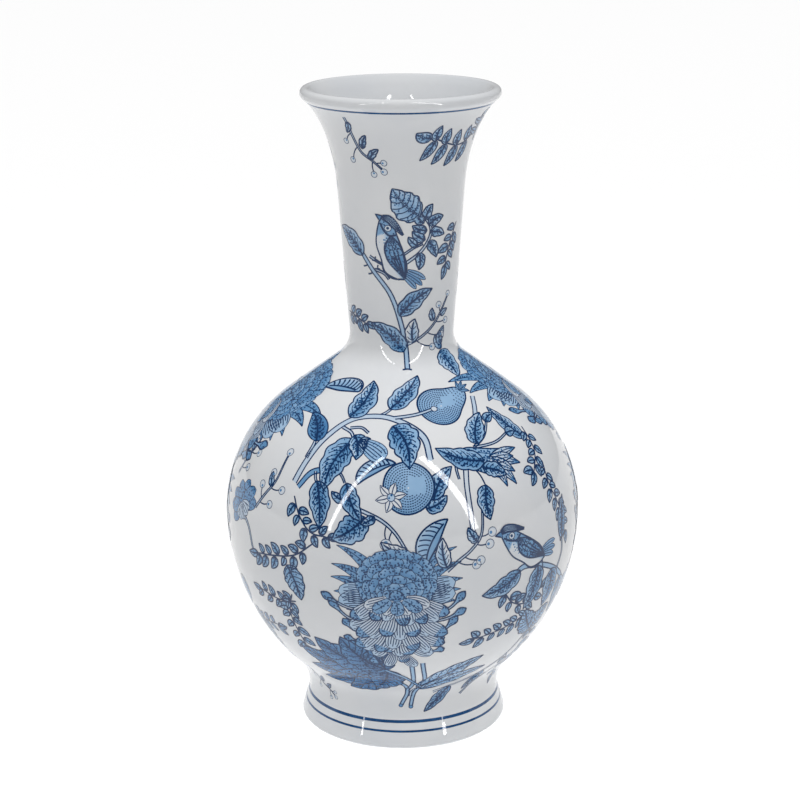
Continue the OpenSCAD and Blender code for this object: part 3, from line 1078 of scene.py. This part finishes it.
def peonyLeaf(art):
    # broad lobes that fan out from one stalk, each over the last
    for k, (x, y, wide) in enumerate(((-33, -12, 13), (-36, 4, 14), (-24, 15, 15), (-8, 19, 14),
                                      (-27, -24, 13), (-12, -31, 14), (4, -27, 13), (10, 14, 12))):
        cutLeaf(art, 14 - 6j, complex(x, y), wide + 5, 2 + 2 * (k % 4), lobes=5, tone=0.50, bow=0.08)
    branch(art, [13 - 6j, 22 - 14j, 28 - 26j], 2.0, 12, tone=0.3)


def baseLeaves(art):
    cutLeaf(art, -11 - 15j, 22 + 12j, 11, 2, lobes=4, tone=tones["wash"])
    cutLeaf(art, -9 - 17j, 26 + 0j, 9, 5, lobes=3, tone=tones["wash"])
    branch(art, [-13 - 24j, -13 - 19j, -10 - 15j], 1.4, 1)


def sprigAboveFlower(art):
    berrySprig(art, [-12 + 4j, 0, 9 - 4j, 16 - 10j, 25 - 24j], [(0.56, -1, 8), (0.66, -1, 9)],
               size=3.0, width=1.9)
    for base, tip in ((-12 + 5j, -19 + 9j), (5 - 2j, -2 - 6j)):
        leaf(art, base, tip, 4.5, 4, lobes=2)
    leaf(art, 24 - 21j, 9 - 15j, 6.5, 4, tone=0.08, grain=0, bow=0.1)
    twistedLeaf(art, 33 - 27j, 43 - 4j, 11, 4, bow=0.12)


def sprigRightOfFlower(art):
    berrySprig(art, [-4 - 4j, 2 + 1j, 9 + 6j, 15 + 13j, 17 + 29j],
               [(0.20, -1, 9), (0.32, -1, 8), (0.55, -1, 6), (0.68, -1, 5)], size=2.5, width=1.5)
    leaf(art, -4 - 2j, -6 + 14j, 7.5, 4, tone=0.08, grain=0)
    leaf(art, 13 + 10j, 8 + 18j, 5, 4, tone=0.15)
    berry(art, 17 + 31j, 2.2, 3, -1j)


def smallSprig(art):
    berrySprig(art, [0, 6 + 9j, 11 + 17j, 12 + 32j],
               [(0.15, -1, 7), (0.22, 1, 6), (0.5, -1, 7), (0.56, 1, 5)], [(0.52, 1, 8)], size=2.2)
    berry(art, 12 + 34j, 2.2, 3, -1j)


def perchedBird(art):
    bird(art, 2, legs=((-4 - 9.5j, -2.6 - 5.6j), (0 - 9.8j, -2.4 - 5.0j)))


def birdBranch(art):
    branch(art, [-10 - 20j, -3 - 13j, 8 - 14j, 22 - 19j, 36 - 28j, 48 - 42j], 3.0, 3, end=0.8, tone=0.2)
    branch(art, [30 - 23j, 34 - 14j, 32 - 2j], 1.4, 2)
    leaf(art, -4 - 14j, -27 - 24j, 10.5, 5, tone=tones["mid"], bow=0.1)
    leaf(art, 10 - 15j, 4 - 40j, 12, 5, tone=tones["mid"])
    leaf(art, 24 - 21j, 22 - 44j, 13, 6, tone=tones["mid"], bow=0.1)
    leaf(art, 38 - 30j, 36 - 54j, 11, 5, tone=tones["wash"])
    leaf(art, 33 - 6j, 37 + 17j, 8, 5, lobes=0, tone=tones["mid"])


def leafPair(art):
    branch(art, [-4 - 8j, 0, 3 + 6j], 1.4, 1)
    leaf(art, 3 + 6j, 10 + 24j, 11, 3)
    leaf(art, 1 + 2j, -16 + 12j, 9, 4, tone=tones["mid"])


def garlandTop(art):
    leaf(art, -1 + 2j, -9 + 26j, 9.5, 2, tone=tones["wash"])
    frond(art, [3 + 8j, 1 - 6j, -8 - 17j], 9, 7.5, 3, tone=0.24)


def scallop(art):
    leaf(art, 8 + 7j, -9 - 6j, 14, 3, lobes=4, tone=tones["mid"])


def scallopPair(art):
    cutLeaf(art, -3 + 9j, 4 - 10j, 12, 3, lobes=4, tone=tones["mid"])
    frond(art, [-2 - 8j, -6 - 20j, -3 - 44j], 11, 8.0, 1, tone=0.26)
    frond(art, [0 - 12j, -12 - 14j, -28 - 12j], 8, 7.0, 1, tone=0.26)


def singleFlower(art):
    # a small flower seen from the side
    for k in range(7):
        angle = 200 - 37 * k
        petal(art, 0, polar(angle, 16, 13), 9, 1 + k % 2, 0.40, grain=0.8, plump=0.3)
    for k in range(5):
        petal(art, 0, polar(215 + 28 * k, 9, 9), 6, 4 + k % 2, 0.10, stripes=2, plump=0.7)
    branch(art, [0 - 4j, 4 - 14j, 2 - 26j], 1.5, 0)


def longStems(art):
    branch(art, [-22 - 24j, -4 - 14j, 14 + 2j, 24 + 20j], 1.6, 1, tone=0.05)
    branch(art, [-4 - 30j, 6 - 18j, 20 - 6j], 1.2, 1, tone=0.05)
    leaf(art, -14 - 20j, -24 - 38j, 7, 3, tone=0.3)
    leaf(art, 2 - 9j, -4 - 26j, 6, 3, tone=0.2)
    frond(art, [14 + 2j, 20 - 10j, 20 - 24j], 6, 7, 2, tone=0.26)


def roseLeaf(art):
    cutLeaf(art, 22 - 22j, 10 - 4j, 14, 4, lobes=5, tone=tones["mid"])
    cutLeaf(art, 22 - 22j, 34 - 8j, 13, 6, lobes=5, tone=tones["mid"])
    frond(art, [24 - 20j, 28 - 34j, 26 - 50j], 7, 8, 1, tone=0.26)


# name, drawing, angle, height, then what differs from upright and whole
repeat = (
    ("lipSprig", lipSprig, -38, 345, {}),
    ("lipFrond", lipFrond, 66, 344, {}),
    ("neckBranch", neckBranch, 0, 232, {}),
    ("neckSpray", neckSpray, 19, 293, {}),
    ("neckBird", bird, -1, 268, {}),
    ("neckSprig", neckSprig, 6, 222, {}),
    ("leftFrond", smallFrond, -74, 236, {}),
    ("rightFrond", hangingFrond, 62, 286, {}),
    ("shoulderLeaf", shoulderLeaf, 45, 217, {}),
    ("fruitBranch", fruitBranch, -24, 189, {}),
    ("pod", pod, -17, 180, {}),
    ("pear", pear, 21, 194, {}),
    ("pomegranate", pomegranate, 2, 161, {}),
    ("blownFlower", blownFlower, 30, 174, {}),
    ("bellySprig", smallSprig, -55, 140, {}),
    ("openFrond", openFrond, -38, 152, {}),
    ("wideFrond", wideFrond, -30, 130, {}),
    ("scallop", scallop, -17, 140, {}),
    ("scallopPair", scallopPair, -37, 106, {}),
    ("upperSprig", sprigAboveFlower, -12, 149, {}),
    ("bigFlower", chrysanthemum, -2, 105, {}),
    ("rightSprig", sprigRightOfFlower, 16, 122, {}),
    ("peonyLeaf", peonyLeaf, -17, 60, {}),
    ("flowerStems", flowerStems, 1, 34, {}),
    ("baseLeaves", baseLeaves, 17, 50, {}),
    ("birdBranch", birdBranch, 42, 125, {}),
    ("bellyBird", perchedBird, 46, 121, {"turn": 38, "size": 1.05}),
    ("longFrond", longFrond, 33, 103, {}),
    ("lowFrond", lowFrond, 35, 106, {}),
    ("longStems", longStems, 38, 52, {}),
    ("roseLeaf", roseLeaf, 40, 88, {}),
    ("garlandTop", garlandTop, 57, 173, {}),
    ("garland", garland, 59, 162, {}),
    ("footSprig", lipSprig, -55, 42, {"size": 0.7}),
)
sides = (
    ("leftFlower", sideFlower, -85, 188, {"turn": -38, "size": 1.2}),
    ("leftSprig", smallSprig, -74, 150, {"turn": 10}),
    ("leftBlossom", singleFlower, -64, 138, {"turn": 30}),
    ("leftGarland", garland, -84, 134, {"mirror": True}),
    ("leftLeaves", scallopPair, -70, 84, {"mirror": True}),
    ("rightFlower", chrysanthemum, 92, 196, {"turn": -24, "mirror": True, "size": 1.1}),
    ("rightSecondFlower", chrysanthemum, 96, 132, {"turn": 10, "mirror": True, "size": 0.9}),
    ("rightSprig", sprigRightOfFlower, 84, 92, {}),
    ("rightLeaves", baseLeaves, 92, 56, {}),
    ("rightFillSprig", smallSprig, 80, 244, {"size": 0.8}),
    ("rightFillFrond", openFrond, 112, 92, {"mirror": True}),
    ("rightFillBlossom", singleFlower, 78, 84, {"turn": -20}),
    ("rightNeckFrond", hangingFrond, 108, 318, {"mirror": True}),
    ("leftNeckSprig", lipSprig, -84, 330, {"mirror": True}),
    ("leftNeckLeaf", shoulderLeaf, -98, 262, {}),
    ("leftSecondFlower", chrysanthemum, -96, 128, {"turn": -8, "size": 0.9}),
    ("leftFillSprig", sprigRightOfFlower, -106, 78, {}),
    ("leftFillLeaf", leafPair, -88, 60, {"turn": 30}),
    ("leftFillFrond", smallFrond, -112, 166, {}),
)
for number, (side, start) in enumerate((("front", 0), ("back", 180))):
    for k, (name, draw, angle, height, how) in enumerate(repeat):
        hang(side + name[0].upper() + name[1:], draw, start + angle, height, seed=100 * number + k, **how)
for k, (name, draw, angle, height, how) in enumerate(sides):
    hang(name, draw, angle, height, seed=300 + k, **how)
print("pattern hung")


# rings at the foot and under the lip

ringTone = 0.76
rings = (("footRingLow", 10.0, 1.25), ("footRingHigh", 15.2, 1.7), ("lipRing", 348.5, 1.35))


def turnRing(name, height, width):
    # a band of cobalt that follows the wall all round
    rise = np.array([-0.5, 0.5]) * width
    spots, _ = onWall(np.zeros(2), rise, np.full(2, printLook["start"]), 0, height)
    bm = bmesh.new()
    tone, grain = bm.verts.layers.float.new("tone"), bm.verts.layers.float.new("grain")
    verts = [bm.verts.new(spot) for spot in spots]
    turnRound(bm, verts + [bm.edges.new(verts)])
    for v in bm.verts:
        v[tone], v[grain] = ringTone, 0.0
    bm.normal_update()
    inward = [f for f in bm.faces if f.normal.xy.dot(f.calc_center_median().xy) < 0]
    bmesh.ops.reverse_faces(bm, faces=inward)
    for face in bm.faces:
        face.smooth = True
    piece = finishPiece(bm, name, ink)
    piece.visible_shadow = False


for name, height, width in rings:
    turnRing(name, height, width)
print("rings drawn")


# floor and light

studio = {
    "floorColour": (0.93, 0.93, 0.93),
    "floorRoughness": 0.6,
    "skyStrength": 0.22,
    "overhead": 3.05,              # strength of the wide light from above
    "overheadSpread": 60,          # degrees
    "stripGlow": 14.0,             # brightness of the two strip lights, seen only as reflections
    "stripWidths": (0.07, 0.12),   # m, left and right
    "stripLength": 2.0,            # m
    "stripAngle": 38,              # degrees to each side of the camera
    "stripDistance": 1.4,          # m
    "stripHeight": 1.02,           # m
    "stripLean": 16,               # degrees, tops together
}


def layFloor():
    bm = bmesh.new()
    bmesh.ops.create_grid(bm, x_segments=2, y_segments=2, size=12)
    mesh = bpy.data.meshes.new("floor")
    bm.to_mesh(mesh)
    bm.free()
    floor = bpy.data.objects.new("floor", mesh)
    bpy.context.collection.objects.link(floor)
    material, _, _, shader = newMaterial("floor")
    shader.inputs["Base Color"].default_value = (*studio["floorColour"], 1)
    shader.inputs["Roughness"].default_value = studio["floorRoughness"]
    mesh.materials.append(material)


def addLight(name, kind, energy, place, aim):
    lamp = bpy.data.objects.new(name, bpy.data.lights.new(name, kind))
    bpy.context.collection.objects.link(lamp)
    lamp.data.energy = energy
    lamp.location = place
    lamp.rotation_euler = (Vector(aim) - Vector(place)).to_track_quat("-Z", "Y").to_euler()
    return lamp


def lightStudio():
    world = bpy.data.worlds.new("studio")
    bpy.context.scene.world = world
    world.use_nodes = True
    nodes, links = world.node_tree.nodes, world.node_tree.links
    sky, backdrop = nodes["Background"], nodes.new("ShaderNodeBackground")
    sky.inputs["Color"].default_value = backdrop.inputs["Color"].default_value = (1, 1, 1, 1)
    sky.inputs["Strength"].default_value = studio["skyStrength"]
    path, choice = nodes.new("ShaderNodeLightPath"), nodes.new("ShaderNodeMixShader")
    links.new(path.outputs["Is Camera Ray"], choice.inputs["Fac"])
    links.new(sky.outputs["Background"], choice.inputs[1])
    links.new(backdrop.outputs["Background"], choice.inputs[2])
    links.new(choice.outputs["Shader"], nodes["World Output"].inputs["Surface"])
    bpy.context.scene.view_settings.view_transform = "Standard"
    overhead = addLight("overhead", "SUN", studio["overhead"], (0, -0.4, 3), (0, 0, 0))
    overhead.data.angle = math.radians(studio["overheadSpread"])
    overhead.data.use_shadow = False
    overhead.visible_glossy = False
    tall, away = studio["stripLength"], studio["stripDistance"]
    for way, wide in zip((-1, 1), studio["stripWidths"]):
        turn = math.radians(studio["stripAngle"]) * way
        place = (away * math.sin(turn), -away * math.cos(turn), studio["stripHeight"])
        strip = addLight("strip", "AREA", studio["stripGlow"] * math.pi * wide * tall, place, (0, 0, 0.2))
        strip.data.shape = "RECTANGLE"
        strip.data.size, strip.data.size_y = wide, tall
        lean = Matrix.Rotation(math.radians(studio["stripLean"] * way), 3, "Z")
        strip.rotation_euler = (strip.rotation_euler.to_matrix() @ lean).to_euler()
        strip.visible_diffuse = False


layFloor()
lightStudio()
print("studio lit")
